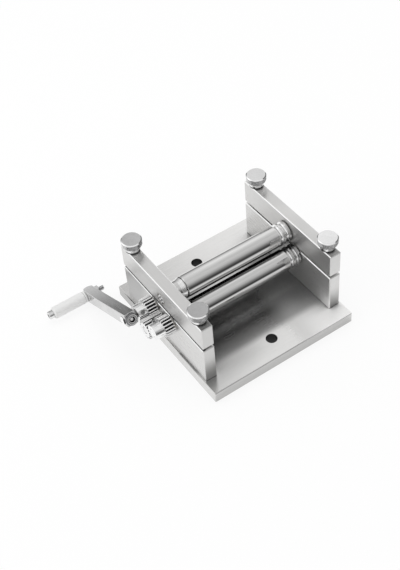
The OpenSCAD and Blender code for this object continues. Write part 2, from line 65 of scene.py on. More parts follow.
bpy.ops.object.camera_add(location=camera_place)
camera = bpy.context.object
camera.name = "camera"
sight = Vector(camera_target) - Vector(camera_place)
aim = sight.to_track_quat("-Z", "Y").to_matrix().to_4x4()
camera.rotation_mode = "QUATERNION"
camera.rotation_quaternion = (aim @ aim.Rotation(camera_roll, 4, "Z")).to_quaternion()
camera.data.lens = camera_lens
camera.data.sensor_width = 36.0
camera.data.clip_start = 0.01
camera.data.clip_end = 30.0
scene.camera = camera


# ---------------------------------------------------------------- Studio
# A white room with a large soft window behind the machine, a white panel at its left and
# a dim side in front. Gloss sees these, and two soft boxes light whatever is matt.
def add(tree, kind, **values):
    """A node of that kind. Names of its sockets set their values, other names its settings."""
    node = tree.nodes.new(kind)
    for name, value in values.items():
        if hasattr(node, name):
            setattr(node, name, value)
        else:
            node.inputs[name.replace("_", " ")].default_value = value
    return node


def put(tree, value, socket):
    """Links a socket, or sets a number, grey or colour, on an input."""
    if isinstance(value, bpy.types.NodeSocket):
        tree.links.new(value, socket)
    elif socket.type == "RGBA":
        colour = tuple(value) if hasattr(value, "__len__") else (value, value, value)
        socket.default_value = (*colour, 1)
    else:
        socket.default_value = value


def maths(tree, operation, first, second=0.0):
    """One sum of two numbers or sockets."""
    node = add(tree, "ShaderNodeMath", operation=operation)
    put(tree, first, node.inputs[0])
    put(tree, second, node.inputs[1])
    return node.outputs[0]


def product(tree, *shares):
    """The shares multiplied, so it is 1 where all of them are."""
    result = shares[0]
    for share in shares[1:]:
        result = maths(tree, "MULTIPLY", result, share)
    return result


def between(tree, value, start, end, low=0.0, high=1.0):
    """A smooth rise from low at start to high at end."""
    node = add(tree, "ShaderNodeMapRange", interpolation_type="SMOOTHSTEP")
    settings = {"Value": value, "From Min": start, "From Max": end, "To Min": low, "To Max": high}
    for name, number in settings.items():
        put(tree, number, node.inputs[name])
    return node.outputs["Result"]


def mix(tree, share, first, second, blend="MIX"):
    """Two colours mixed by a share."""
    node = add(tree, "ShaderNodeMix", data_type="RGBA", blend_type=blend)
    put(tree, share, node.inputs[0])
    put(tree, first, node.inputs[6])
    put(tree, second, node.inputs[7])
    return node.outputs[2]


def greys(tree, value, stops):
    """Greys over a value, from (place, grey) pairs."""
    node = add(tree, "ShaderNodeValToRGB")
    line = node.color_ramp.elements
    line.remove(line[1])
    line[0].position = stops[0][0]
    for element, (place, grey) in zip([line[0]] + [line.new(p) for p, _ in stops[1:]], stops):
        element.color = (grey, grey, grey, 1)
    tree.links.new(value, node.inputs["Fac"])
    return node.outputs["Color"]


def xyz(tree, vector):
    """A vector socket split into its X, Y and Z."""
    split = add(tree, "ShaderNodeSeparateXYZ")
    tree.links.new(vector, split.inputs[0])
    return tuple(split.outputs)


# Brightness of the room over the half turn from the back horizon, over the top, to the front
room_over = [
    (0.0, 0.20), (0.03, 0.30), (0.08, 0.56), (0.15, 0.82), (0.21, 1.06), (0.28, 1.20),
    (0.35, 1.08), (0.41, 0.94), (0.48, 0.79), (0.55, 0.77), (0.62, 0.83), (0.68, 0.77),
    (0.75, 0.66), (0.82, 0.47), (0.88, 0.27), (0.95, 0.12), (1.0, 0.05),
]
# Each edge is given from its outer to its inner side, as a share of the ray's length or turn
window_edge = (0.27, 0.37)
window_side = 0.50
second_window = (-0.05, -0.25)
window_top = (0.36, 0.46)
far_right = (0.50, 0.66)
far_right_grey = 0.16
panel_edge = (-0.40, -0.62)
panel_top = (0.66, 0.42)
room_matt = 0.80

world = bpy.data.worlds.new("studio")
scene.world = world
world.use_nodes = True
tree = world.node_tree
tree.nodes.clear()
ray_x, ray_y, ray_z = xyz(tree, add(tree, "ShaderNodeTexCoord").outputs["Generated"])
rise = maths(tree, "ABSOLUTE", ray_z)
turn = maths(tree, "DIVIDE", maths(tree, "ARCTAN2", rise, ray_y), math.pi)
room = greys(tree, turn, room_over)
# Between this window and the next at its left, and far to the right, the room is dimmer
beside = between(tree, ray_x, *window_edge, window_side, 1.0)
beside = mix(tree, between(tree, ray_x, *second_window), beside, 1.0)
beside = mix(tree, between(tree, turn, *window_top), beside, 1.0)
room = mix(tree, 1.0, room, beside, "MULTIPLY")
room = mix(tree, between(tree, ray_x, *far_right), room, far_right_grey)
panel = product(tree, between(tree, ray_x, *panel_edge), between(tree, rise, *panel_top))
room = mix(tree, panel, room, 1.0)
path = add(tree, "ShaderNodeLightPath")
room = mix(tree, path.outputs["Is Diffuse Ray"], room, room_matt)
room = mix(tree, path.outputs["Is Camera Ray"], room, 1.0)
room = mix(tree, path.outputs["Is Transmission Ray"], room, 1.0)
shine = add(tree, "ShaderNodeBackground", Strength=1.0)
tree.links.new(room, shine.inputs["Color"])
tree.links.new(shine.outputs[0], add(tree, "ShaderNodeOutputWorld").inputs["Surface"])

# name: (place, size along x and y, power in watts)
soft_boxes = {
    "overhead_soft_box": ((0.15, 0.25, 1.40), (1.1, 0.9), 3.4),
    "left_soft_box": ((-1.15, 0.55, 0.75), (0.9, 0.6), 2.4),
}
for name, (place, size, power) in soft_boxes.items():
    bpy.ops.object.light_add(type="AREA", location=place)
    lamp = bpy.context.object
    lamp.name = name
    lamp.data.shape = "RECTANGLE"
    lamp.data.size, lamp.data.size_y = size
    lamp.data.energy = power
    lamp.visible_glossy = False
    lamp.rotation_mode = "QUATERNION"
    lamp.rotation_quaternion = (-Vector(place)).to_track_quat("-Z", "Y")

scene.view_settings.view_transform = "Standard"


# ---------------------------------------------------------------- Floor
# White card under the machine. The camera sees it nearly white with the machine's soft shadow,
# and gloss sees it end in front of the machine and dim towards the back of the room. Gloss also
# sees a painted shade strip just in front of the plate, and the camera a painted shadow under it.
floor_half = 1.6
floor_drop = 0.0002
floor_shadow_share = 0.16
floor_grey = 0.98
floor_shine_share = 0.75

# Greys that gloss sees, and where the card goes over into them along X or Y
card_end_y = (-0.08, -0.33)
beyond_card = 0.10
card_back_y = (0.15, 1.30)
behind_card = 0.42
# Painted shade: a strip of the card just in front of the plate, darker for gloss
front_strip_y = (-0.0685, -0.088)
painted_shade_strip_grey = 0.70
plate_side_x = (0.062, 0.072)
plate_front_y = (-0.066, -0.0684)

# Painted shadow: the card under the plate is painted dark for the camera
under_x = (0.060, 0.056)
under_y = (0.064, 0.060)
painted_shadow_grey = 0.02

bpy.ops.mesh.primitive_plane_add(size=2 * floor_half, location=(0, 0, -floor_drop))
floor = bpy.context.object
floor.name = "floor"
card = bpy.data.materials.new("white_card")
card.use_nodes = True
tree = card.node_tree
tree.nodes.clear()
path = add(tree, "ShaderNodeLightPath")
x, y = xyz(tree, add(tree, "ShaderNodeTexCoord").outputs["Object"])[:2]
off_x, off_y = maths(tree, "ABSOLUTE", x), maths(tree, "ABSOLUTE", y)
ahead = between(tree, y, *card_end_y, 1.0, beyond_card)
behind = between(tree, y, *card_back_y, 1.0, behind_card)
# Painted shade strip in front of the plate, left out beside the plate and behind its front edge
strip = between(tree, y, *front_strip_y, painted_shade_strip_grey, 1.0)
beside_plate = between(tree, off_x, *plate_side_x)
behind_front = between(tree, y, *plate_front_y, 1.0, 0.0)
strip = mix(tree, maths(tree, "MAXIMUM", beside_plate, behind_front), strip, 1.0)
in_gloss = product(tree, ahead, strip, behind)
seen_grey = mix(tree, path.outputs["Is Glossy Ray"], 1.0, in_gloss)
# The camera sees this painted shadow through the mounting holes
under = product(tree, between(tree, off_x, *under_x), between(tree, off_y, *under_y),
                path.outputs["Is Camera Ray"])
seen_grey = mix(tree, under, seen_grey, painted_shadow_grey)
matt = add(tree, "ShaderNodeBsdfDiffuse")
put(tree, mix(tree, 1.0, seen_grey, floor_grey, "MULTIPLY"), matt.inputs["Color"])
white = add(tree, "ShaderNodeEmission", Strength=1.0)
put(tree, seen_grey, white.inputs["Color"])
seen = maths(tree, "MAXIMUM", path.outputs["Is Camera Ray"], path.outputs["Is Transmission Ray"])
seen = maths(tree, "MULTIPLY", seen, 1 - floor_shadow_share)
shone = maths(tree, "MULTIPLY", path.outputs["Is Glossy Ray"], floor_shine_share)
cover = add(tree, "ShaderNodeMixShader")
tree.links.new(maths(tree, "ADD", seen, shone), cover.inputs[0])
tree.links.new(matt.outputs[0], cover.inputs[1])
tree.links.new(white.outputs[0], cover.inputs[2])
tree.links.new(cover.outputs[0], add(tree, "ShaderNodeOutputMaterial").inputs["Surface"])
floor.data.materials.append(card)


# ---------------------------------------------------------------- Base plate
# Ground flat steel with two plain drilled mounting holes. Grinding leaves fine lines along its
# length. Painted light brightens its top at the front right. Painted shade darkens a patch at the
# front left, the top where other pieces close it in, a strip under the rollers, the end behind
# the crank and the holes' bores.
def new_metal(name):
    """A bare metal, with its tree and its shader."""
    material = bpy.data.materials.new(name)
    material.use_nodes = True
    tree = material.node_tree
    tree.nodes.clear()
    metal = add(tree, "ShaderNodeBsdfPrincipled", Metallic=1.0)
    tree.links.new(metal.outputs[0], add(tree, "ShaderNodeOutputMaterial").inputs["Surface"])
    return material, tree, metal


def own_place(tree, scale=(1, 1, 1), shift=(0, 0, 0)):
    """The piece's own coordinates, stretched and shifted."""
    place = add(tree, "ShaderNodeMapping")
    place.inputs["Scale"].default_value = scale
    place.inputs["Location"].default_value = shift
    tree.links.new(add(tree, "ShaderNodeTexCoord").outputs["Object"], place.inputs["Vector"])
    return place.outputs[0]


def noise(tree, scale, stretch=(1, 1, 1), detail=2.0):
    """Grain of that scale, drawn out along the axes that have a small stretch."""
    grain = add(tree, "ShaderNodeTexNoise", Scale=scale, Detail=detail, Roughness=0.55)
    tree.links.new(own_place(tree, stretch), grain.inputs["Vector"])
    return grain.outputs["Fac"]


def brushed(name, colour, roughness, along="", depth=0.000004, shade=0.05):
    """Steel with fine grain. along is the axis or axes that its lines follow, if it has lines,
    depth how deep they are, and shade how much darker and lighter they make the colour."""
    material, tree, metal = new_metal(name)
    stretch = tuple(0.04 if axis in along else 1.0 for axis in "xyz")
    fine = noise(tree, 2600, stretch, 3)
    broad = noise(tree, 260, stretch, 2)
    cloud = noise(tree, 30)
    lines = mix(tree, 0.35, fine, broad)
    dark = tuple(c * (1 - shade) for c in colour)
    light = tuple(min(1.0, c * (1 + shade)) for c in colour)
    put(tree, mix(tree, between(tree, lines, 0.35, 0.65), dark, light), metal.inputs["Base Color"])
    worn = between(tree, lines, 0.3, 0.7, roughness * 0.85, roughness * 1.15)
    handled = between(tree, cloud, 0.3, 0.7, 0.92, 1.10)
    put(tree, maths(tree, "MULTIPLY", worn, handled), metal.inputs["Roughness"])
    bump = add(tree, "ShaderNodeBump", Strength=0.6, Distance=depth)
    tree.links.new(lines, bump.inputs["Height"])
    tree.links.new(bump.outputs[0], metal.inputs["Normal"])
    return material


def over_metal(material, share, colour, roughness, metallic=1.0):
    """Lays another finish over part of a metal, where share is 1."""
    tree = material.node_tree
    metal = tree.nodes["Principled BSDF"]
    for name, value in (("Base Color", colour), ("Roughness", roughness)):
        socket = metal.inputs[name]
        below = socket.links[0].from_socket
        put(tree, mix(tree, share, below, value), socket)
    if metallic < 1.0:
        socket = metal.inputs["Metallic"]
        below = socket.links[0].from_socket if socket.links else socket.default_value
        put(tree, between(tree, share, 0.0, 1.0, below, metallic), socket)


def painted_occlusion_shade(material, reach, start, end, grey=0.05, unshaded=0.0):
    """Painted shade: the metal's colour darkens where other pieces close it in, by ambient
    occlusion.
    It is left out where the last argument is 1."""
    tree = material.node_tree
    open_air = add(tree, "ShaderNodeAmbientOcclusion", samples=8, only_local=False, inside=False,
                   Distance=reach).outputs["AO"]
    socket = tree.nodes["Principled BSDF"].inputs["Base Color"]
    share = maths(tree, "MAXIMUM", between(tree, open_air, start, end), unshaded)
    put(tree, mix(tree, share, grey, socket.links[0].from_socket), socket)


def off_axis(tree, flat, centre):
    """Distance from an axis, which is along flat."""
    keep = tuple(0.0 if axis == flat else 1.0 for axis in "xyz")
    shift = tuple(-c * k for c, k in zip(centre, keep))
    reach = add(tree, "ShaderNodeVectorMath", operation="LENGTH")
    tree.links.new(own_place(tree, keep, shift), reach.inputs[0])
    return reach.outputs["Value"]


def wear(material, *names):
    """Gives CAD pieces that material."""
    for name in names:
        cad = nodes[name]
        if not cad.material_slots:
            cad.data.materials.append(material)
        for place in cad.material_slots:
            place.material = material


plate_colour = (0.72, 0.716, 0.708)
# Painted light for the top's front right, then greys of painted shade
painted_light_colour = (0.92, 0.916, 0.908)
painted_corner_light_colour = (0.98, 0.976, 0.968)
painted_patch_shade_colour = (0.53, 0.527, 0.521)
painted_end_shade_colour = (0.47, 0.468, 0.463)
painted_shade_grey = 0.18
painted_bore_shade_grey = 0.05
mount_hole_y = 0.051
mount_hole_r = 0.0045

# Where each finish begins and where it is full, along X, Y or Z
plate_top_z = (0.0096, 0.0098)
painted_light_x, painted_light_y = (-0.004, 0.034), (0.010, -0.010)
corner_x, corner_y = (0.022, 0.044), (-0.038, -0.048)
patch_shade_x, patch_shade_front_y, patch_shade_back_y = (0.012, -0.030), (-0.069, -0.050), (-0.034, -0.042)
crank_end_x = (-0.046, -0.053)
end_shade_x, end_shade_y = (-0.0645, -0.0648), (0.034, 0.050)
roller_shade_x, roller_shade_front_y, roller_shade_back_y = (0.030, 0.0), (-0.0485, -0.0405), (-0.016, -0.022)
roller_shade_share = (0.62, 0.65)

base_steel = brushed("ground_base_plate", plate_colour, 0.20, "x")
tree = base_steel.node_tree
x, y, z = xyz(tree, own_place(tree))
on_top = between(tree, z, *plate_top_z)
off_top = maths(tree, "SUBTRACT", 1.0, on_top)
# Painted light: the top's front right is brighter and less metallic
painted_light = product(tree, on_top, between(tree, x, *painted_light_x), between(tree, y, *painted_light_y))
over_metal(base_steel, product(tree, painted_light, painted_light), painted_light_colour, 0.40, metallic=0.42)
# Painted light: the top's front right corner is brighter still, and hardly metallic
corner = product(tree, on_top, between(tree, x, *corner_x), between(tree, y, *corner_y))
over_metal(base_steel, corner, painted_corner_light_colour, 0.45, metallic=0.15)
# Painted shade on a patch of the top at the front left
painted_patch_shade = product(tree, on_top, between(tree, x, *patch_shade_x), between(tree, y, *patch_shade_front_y),
                 between(tree, y, *patch_shade_back_y))
over_metal(base_steel, painted_patch_shade, painted_patch_shade_colour, 0.20)
# Painted shade darkens the top where other pieces close it in, but not at the crank end, and
# darkens the plate's end behind the crank
unshaded = maths(tree, "MAXIMUM", between(tree, x, *crank_end_x), off_top)
painted_occlusion_shade(base_steel, reach=0.050, start=0.33, end=0.80, grey=painted_shade_grey, unshaded=unshaded)
# Painted shade on the plate's left end behind the crank
painted_end_shade = product(tree, off_top, between(tree, x, *end_shade_x), between(tree, y, *end_shade_y))
over_metal(base_steel, painted_end_shade, painted_end_shade_colour, 0.20)
# Painted shade lies in a strip of the top under the rollers
painted_roller_shade = product(tree, on_top, between(tree, x, *roller_shade_x, *roller_shade_share),
               between(tree, y, *roller_shade_front_y), between(tree, y, *roller_shade_back_y))
over_metal(base_steel, painted_roller_shade, painted_shade_grey, 0.30)
# Painted shade darkens the mounting holes' bores
for side in (-1, 1):
    hole = off_axis(tree, "z", (0, side * mount_hole_y, 0))
    in_hole = between(tree, hole, mount_hole_r * 1.04, mount_hole_r * 1.01)
    over_metal(base_steel, in_hole, painted_bore_shade_grey, 0.6)
wear(base_steel, "base_plate")


# ---------------------------------------------------------------- Stand blocks and bearing bars
# Each stand is a block screwed on the base plate with a bar over it, cut from the same ground
# flat bar, its edges broken with a file. Painted highlights brighten the filed edges and the right
# block's inner foot. Painted shade darkens the gap's outer edge, the left block behind the gears,
# the blocks' front feet and the bar tops under the front knobs.
def soften(width, *names):
    """Breaks the sharp edges of CAD pieces, as a file or a chamfer tool does."""
    for name in names:
        weld = nodes[name].modifiers.new("weld", "WELD")
        weld.merge_threshold = 0.000002
        edge = nodes[name].modifiers.new("broken_edges", "BEVEL")
        edge.width, edge.segments = width, 2
        edge.limit_method, edge.angle_limit = "ANGLE", math.radians(35)
        edge.use_clamp_overlap = True
        edge.harden_normals = True


def facing(tree):
    """The way that the surface faces, as X, Y and Z."""
    return xyz(tree, add(tree, "ShaderNodeNewGeometry").outputs["True Normal"])


def painted_edge_highlight(material):
    """A painted highlight on filed edges, whose faces look aslant between X and Z."""
    tree = material.node_tree
    face_x, face_y, face_z = facing(tree)
    aslant = between(tree, maths(tree, "ABSOLUTE", product(tree, face_x, face_z)), *edge_aslant)
    over_metal(material, aslant, edge_highlight_grey, 0.10)


flat_bar_metallic = 0.82
# Painted highlight on the filed edges
edge_highlight_grey = 0.97
edge_width = 0.0006
edge_aslant = (0.10, 0.25)
gear_shade_colour = (0.50, 0.498, 0.493)
front_foot_shade_colour = (0.35, 0.349, 0.345)
inner_foot_light_colour = (0.97, 0.966, 0.958)
gap_shade_colour = (0.16, 0.16, 0.165)
knob_shadow_colour = (0.31, 0.309, 0.306)

# Where each finish begins and where it is full, along X, Y or Z
outer_side_x, gear_shade_y = (-0.0600, -0.0606), (0.016, 0.034)
front_end_y, front_foot_z = (-0.0540, -0.0543), (0.035, 0.012)
right_x, inner_side_x = (0.0, 0.01), (0.0545, 0.0537)
inner_foot_y, inner_foot_z = (-0.036, -0.052), (0.032, 0.012)
block_top_z = (0.04390, 0.04395)
bar_top_z, knob_shadow_y = (0.0670, 0.0671), (-0.0485, -0.0500)
left_to_right_x, knob_shadow_share = (-0.01, 0.01), (1.0, 0.55)

bar_steel = brushed("ground_flat_bar", plate_colour, 0.35, "y", depth=0.000002, shade=0.03)
block_steel = brushed("ground_stand_block", plate_colour, 0.30, "y", depth=0.0000008, shade=0.03)
for steel in (bar_steel, block_steel):
    steel.node_tree.nodes["Principled BSDF"].inputs["Metallic"].default_value = flat_bar_metallic

tree = block_steel.node_tree
x, y, z = xyz(tree, own_place(tree))
outer_side = between(tree, x, *outer_side_x)
# Painted shade on the left block's outer side behind the gears
gear_shade = product(tree, outer_side, between(tree, y, *gear_shade_y))
over_metal(block_steel, gear_shade, gear_shade_colour, 0.30)
# Painted shade darkens the blocks' front ends low down, and painted light brightens the right
# block's inner foot
front_foot_shade = product(tree, between(tree, y, *front_end_y), between(tree, z, *front_foot_z))
over_metal(block_steel, front_foot_shade, front_foot_shade_colour, 0.30)
# Painted light on the right block's inner foot
inner_foot_light = product(tree, between(tree, x, *right_x), between(tree, x, *inner_side_x),
                     between(tree, y, *inner_foot_y), between(tree, z, *inner_foot_z))
over_metal(block_steel, inner_foot_light, inner_foot_light_colour, 0.30, metallic=0.60)
painted_edge_highlight(block_steel)
# Painted shade on the block's top along the gap's outer edge
in_gap = product(tree, outer_side, between(tree, z, *block_top_z))
over_metal(block_steel, in_gap, gap_shade_colour, 0.5)

tree = bar_steel.node_tree
x, y, z = xyz(tree, own_place(tree))
# Painted shadow of the front knobs on the bar tops, fainter on the right
knob_shadow = product(tree, between(tree, z, *bar_top_z), between(tree, y, *knob_shadow_y),
                      between(tree, x, *left_to_right_x, *knob_shadow_share))
over_metal(bar_steel, knob_shadow, knob_shadow_colour, 0.35)
painted_edge_highlight(bar_steel)
wear(block_steel, "left_block", "right_block")
wear(bar_steel, "left_bar", "right_bar")
soften(edge_width, "left_bar", "right_bar", "left_block", "right_block")


# ---------------------------------------------------------------- Rollers
# Three solid steel rollers, ground and polished, with wire grooves turned at the right end.
# Their ends and the grooves' walls get a painted highlight, and painted shade darkens what is
# closed in.
roller_colour = (0.64, 0.637, 0.632)
groove_highlight_grey = 1.0
groove_facing_x = (0.15, 0.35)
# name of the finish: (its rollers, how open to the air its painted shade ends)
roller_finishes = {
    "polished_top_roller": (("top_roller",), 0.50),
    "polished_front_roller": (("front_roller", "rear_roller"), 0.72),
}
for finish, (names, shade_end) in roller_finishes.items():
    roller_steel = brushed(finish, roller_colour, 0.075, "x", depth=0.0000015, shade=0.04)
    tree = roller_steel.node_tree
    face_x = facing(tree)[0]
    groove = between(tree, maths(tree, "ABSOLUTE", face_x), *groove_facing_x)
    # Painted highlight on the rollers' ends and the grooves' walls
    over_metal(roller_steel, groove, groove_highlight_grey, 0.14, metallic=0.75)
    # Painted shade where the rollers close each other in
    painted_occlusion_shade(roller_steel, reach=0.016, start=0.20, end=shade_end)
    wear(roller_steel, *names)


# ---------------------------------------------------------------- Bushes and washers
# Plain sintered bushes pressed in the blocks and bars, and thin thrust washers behind the
# gears. They are grey from oil, and duller than the steel round them.
bush_metal = brushed("sintered_bush", (0.55, 0.53, 0.50), 0.35)
wear(bush_metal, *[n for n in nodes if n.endswith("_bush") or n.endswith("_washer")])


# ---------------------------------------------------------------- Gears
# Three spur gears of one size cut from bright steel bar, with turned hubs on the outer two.
# Painted shade lies black in the tooth gaps, and the tops of the teeth get a painted highlight.
gear_axes = {
    "rear_gear": (0.012, 0.038),
    "front_gear": (-0.012, 0.038),
    "idler_gear": (0.0, 0.03004),
}
tooth_root_r = 0.0062
tooth_tip_r = 0.0080
hub_x = -0.0724
tooth_gap_r = (tooth_root_r + 0.0013, tooth_root_r + 0.0007)
tooth_gap_x = (hub_x + 0.00001, hub_x + 0.0002)
flank_facing_x = (0.6, 0.3)
tip_highlight_r = (tooth_tip_r - 0.0006, tooth_tip_r - 0.0002)
gear_edge_width = 0.00015
gear_colour = (0.96, 0.96, 0.96)
tooth_gap_shade_colour = (0.04, 0.04, 0.042)
tip_highlight_grey = 1.0
for name, (axis_y, axis_z) in gear_axes.items():
    gear_steel = brushed("machined_" + name, gear_colour, 0.13, "x", shade=0.04)
    tree = gear_steel.node_tree
    reach = off_axis(tree, "x", (0, axis_y, axis_z))
    face_x = facing(tree)[0]
    # Painted shade in the tooth gaps, on the toothed length only for the two outer gears
    deep = product(tree, between(tree, reach, *tooth_gap_r),
                   between(tree, maths(tree, "ABSOLUTE", face_x), *flank_facing_x))
    if name != "idler_gear":
        x = xyz(tree, own_place(tree))[0]
        deep = product(tree, deep, between(tree, x, *tooth_gap_x))
    over_metal(gear_steel, deep, tooth_gap_shade_colour, 0.5)
    # Painted highlight on the tops of the teeth
    over_metal(gear_steel, between(tree, reach, *tip_highlight_r), tip_highlight_grey, 0.45, metallic=0.30)
    wear(gear_steel, name)
shaft_steel = brushed("turned_shaft", (0.86, 0.86, 0.86), 0.16, "x")
wear(shaft_steel, "idler_shaft")
soften(gear_edge_width, *gear_axes)


# ---------------------------------------------------------------- Guide pins and small screws
# Ground dowel pins stand in the blocks and guide the bars. The foot screws, the gears' set
# screws and the idler's clip are blackened steel, rubbed grey.
pin_steel = brushed("ground_pin", (0.76, 0.76, 0.76), 0.18, "z")
wear(pin_steel, "left_guide_pins", "right_guide_pins")
dark_steel = brushed("blackened_screw", (0.34, 0.34, 0.35), 0.28)
wear(dark_steel, "foot_screws", "idler_clip")
rubbed_steel = brushed("rubbed_set_screw", (0.45, 0.45, 0.45), 0.24)
wear(rubbed_steel, "rear_set_screw", "front_set_screw", "idler_set_screw")


# ---------------------------------------------------------------- Thumb screws
# Four turned steel screws with a flat knurled head over a plain collar. The diamond knurl is
# rolled into the rim, and the top is faced smooth. Each top has its own grey of painted light and
# shade, darkest at the left front, with a painted highlight on its bevel, painted shade in the
# knurl's valleys and a painted shadow round the collar's foot.
def turned(name, profile, sides):
    """Draws a disc up through (radius, height) points about Z, as on a lathe."""
    bpy.ops.object.select_all(action="DESELECT")
    bpy.ops.mesh.primitive_circle_add(vertices=sides, radius=profile[0][0], fill_type="NGON")
    piece = bpy.context.object
    piece.name = name
    bpy.ops.object.mode_set(mode="EDIT")
    bpy.ops.mesh.select_all(action="SELECT")
    bpy.ops.transform.translate(value=(0, 0, profile[0][1]))
    for (r_before, z_before), (r_now, z_now) in zip(profile, profile[1:]):
        lift = (0, 0, z_now - z_before)
        bpy.ops.mesh.extrude_region_move(TRANSFORM_OT_translate={"value": lift})
        share = r_now / r_before
        bpy.ops.transform.resize(value=(share, share, 1), center_override=(0, 0, z_now))
    close_up()
    return piece


def close_up():
    """Turns the normals outwards and leaves edit mode."""
    bpy.ops.mesh.select_all(action="SELECT")
    bpy.ops.mesh.normals_make_consistent(inside=False)
    bpy.ops.object.mode_set(mode="OBJECT")


def pick(piece, test):
    """Selects the corners that pass the test, in edit mode."""
    bpy.ops.mesh.select_mode(type="VERT")
    bpy.ops.mesh.select_all(action="DESELECT")
    mesh = bmesh.from_edit_mesh(piece.data)
    for corner in mesh.verts:
        corner.select_set(test(corner.co))
    mesh.select_flush(True)
    bmesh.update_edit_mesh(piece.data)


def settle(piece, place=(0, 0, 0), turn_axis=None, turn_by=0.0, smooth=28):
    """Turns and moves a finished piece to its place and leaves its object at the origin."""
    bpy.ops.object.select_all(action="DESELECT")
    piece.select_set(True)
    bpy.context.view_layer.objects.active = piece
    if turn_axis:
        piece.rotation_euler = tuple(turn_by if axis == turn_axis else 0 for axis in "XYZ")
    piece.location = place
    bpy.ops.object.transform_apply(location=True, rotation=True, scale=True)
    bpy.ops.object.shade_smooth_by_angle(angle=math.radians(smooth))


def twin_of(piece, name, step):
    """Copies a finished piece with its own mesh and moves the copy by step."""
    bpy.ops.object.select_all(action="DESELECT")
    piece.select_set(True)
    bpy.context.view_layer.objects.active = piece
    bpy.ops.object.duplicate()
    twin = bpy.context.object
    twin.name = name
    bpy.ops.transform.translate(value=step)
    bpy.ops.object.transform_apply(location=True, rotation=True, scale=True)
    return twin


def steps_to_corners(x, y):
    """The steps from the left front corner to the three others, at x and y off the middle."""
    return {"left_rear": (0, 2 * y, 0), "right_front": (2 * x, 0, 0),
            "right_rear": (2 * x, 2 * y, 0)}


thumb_x = 0.0583
thumb_y = 0.0447
knurl_sides = 96
knurl_r = 0.00788
knurl_depth = 0.00032
knurl_step = 0.00052
knurl_rings = [0.07330 + knurl_step * k for k in range(9)]
knurl_low, knurl_high = knurl_rings[0], knurl_rings[-1]
# (radius, height) up the screw: thread end, shank, collar with its groove, bowl, rim and top
thumb_profile = [
    (0.0020, 0.02715), (0.0025, 0.02765), (0.0025, 0.0672),
    (0.0053, 0.0672), (0.0057, 0.0676), (0.0057, 0.0700), (0.0054, 0.0703), (0.0054, 0.0706),
    (0.0060, 0.0709), (0.0068, 0.0715), (0.0074, 0.0722), (0.00775, 0.0729),
    *[(knurl_r, ring) for ring in knurl_rings],
    (0.00812, 0.0775), (0.00812, 0.0777), (0.00760, 0.07812), (0.00735, 0.0783),
]


def is_diamond(corner):
    """Every other corner of the knurl's rings, like the black squares of a chess board."""
    ring = round((corner.z - knurl_low) / knurl_step)
    column = round(math.atan2(corner.y, corner.x) / math.tau * knurl_sides)
    inner_ring = 0 < ring < len(knurl_rings) - 1
    return inner_ring and abs(corner.z - knurl_rings[ring]) < 0.00002 and (ring + column) % 2 == 0


def is_knurl(corner):
    """All corners of the knurl."""
    on_rim = math.hypot(corner.x, corner.y) > knurl_r - 0.00003
    return on_rim and knurl_low - 0.00001 < corner.z < knurl_high + 0.00001


knob = turned("left_front_knob", thumb_profile, knurl_sides)
bpy.ops.object.mode_set(mode="EDIT")
pick(knob, is_diamond)
swell = 1 + knurl_depth / knurl_r
bpy.ops.transform.resize(value=(swell, swell, 1), center_override=(0, 0, 0))
pick(knob, is_knurl)
bpy.ops.mesh.quads_convert_to_tris(quad_method="SHORTEST_DIAGONAL")
close_up()
settle(knob, (-thumb_x, -thumb_y, 0), smooth=14)
knobs = {"left_front": knob}
for corner_name, step in steps_to_corners(thumb_x, thumb_y).items():
    knobs[corner_name] = twin_of(knob, corner_name + "_knob", step)

# Painted light and shade: each top's own grey, darkest at the left front
painted_top_greys = {"left_front": 0.46, "left_rear": 0.57, "right_rear": 0.60, "right_front": 0.72}
bevel_highlight_grey = 0.97
rim_grey = 0.90
valley_shade_colour = (0.16, 0.16, 0.165)
foot_shadow_colour = (0.05, 0.05, 0.052)
# Where each finish begins and where it is full, off the axis or along Z
bevel_r = (0.0073, 0.0074)
rim_z = (0.0776, 0.0775)
knurl_z = (0.0731, 0.0733)
valley_r = (knurl_r + 0.00014, knurl_r + 0.00004)
foot_top_z, foot_low_z = (0.0688, 0.0683), (0.0600, 0.0605)
for name, piece in knobs.items():
    side_x = -thumb_x if name.startswith("left") else thumb_x
    side_y = thumb_y if name.endswith("rear") else -thumb_y
    top_colour = (painted_top_greys[name],) * 3
    steel = brushed("turned_" + name + "_knob", top_colour, 0.20, depth=0.000002, shade=0.06)
    tree = steel.node_tree
    reach = off_axis(tree, "z", (side_x, side_y, 0))
    z = xyz(tree, own_place(tree))[2]
    # Painted highlight on the top's bevel
    over_metal(steel, between(tree, reach, *bevel_r), bevel_highlight_grey, 0.14)
    below_top = between(tree, z, *rim_z)
    over_metal(steel, below_top, rim_grey, 0.18)
    # Painted shade in the knurl's valleys
    valley = product(tree, below_top, between(tree, z, *knurl_z), between(tree, reach, *valley_r))
    over_metal(steel, valley, valley_shade_colour, 0.40)
    # Painted shadow round the collar's foot
    foot = product(tree, between(tree, z, *foot_top_z), between(tree, z, *foot_low_z))
    over_metal(steel, foot, foot_shadow_colour, 0.40)
    piece.data.materials.append(steel)
    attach(piece, name + "_thumb")
    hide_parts(name + "_thumb")


